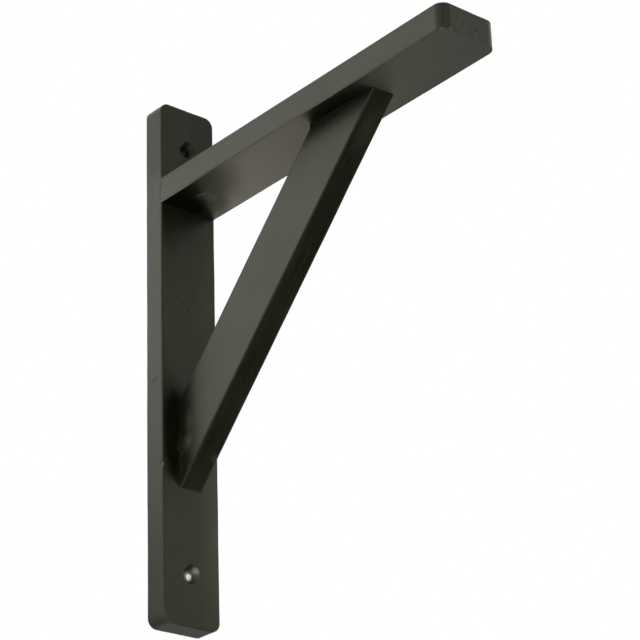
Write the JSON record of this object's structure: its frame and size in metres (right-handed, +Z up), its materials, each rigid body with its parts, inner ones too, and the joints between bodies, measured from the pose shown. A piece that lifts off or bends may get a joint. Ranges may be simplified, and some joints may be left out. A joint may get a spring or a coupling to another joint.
{
  "type": "shelf bracket",
  "caption": "Wooden gallows shelf bracket: a wall upright with countersunk screw holes, a flat arm under the shelf and a diagonal brace set on edge between them, painted satin black.",
  "frame": {"origin": "on the wall plane at the upright's back face, midway between the two wall-screw holes", "axes": "+Z up, +Y into the wall so that the arm reaches out along -Y, +X across the bracket"},
  "size_m": [0.03, 0.2, 0.25],
  "materials": {
    "painted_wood": "satin black acrylic paint on birch",
    "painted_screw_steel": "satin black paint over zinc plating"
  },
  "bodies": {
    "root": {"upright": "painted_wood", "arm": "painted_wood", "brace": "painted_wood", "assembly_screws": "painted_screw_steel"}
  },
  "joints": []
}
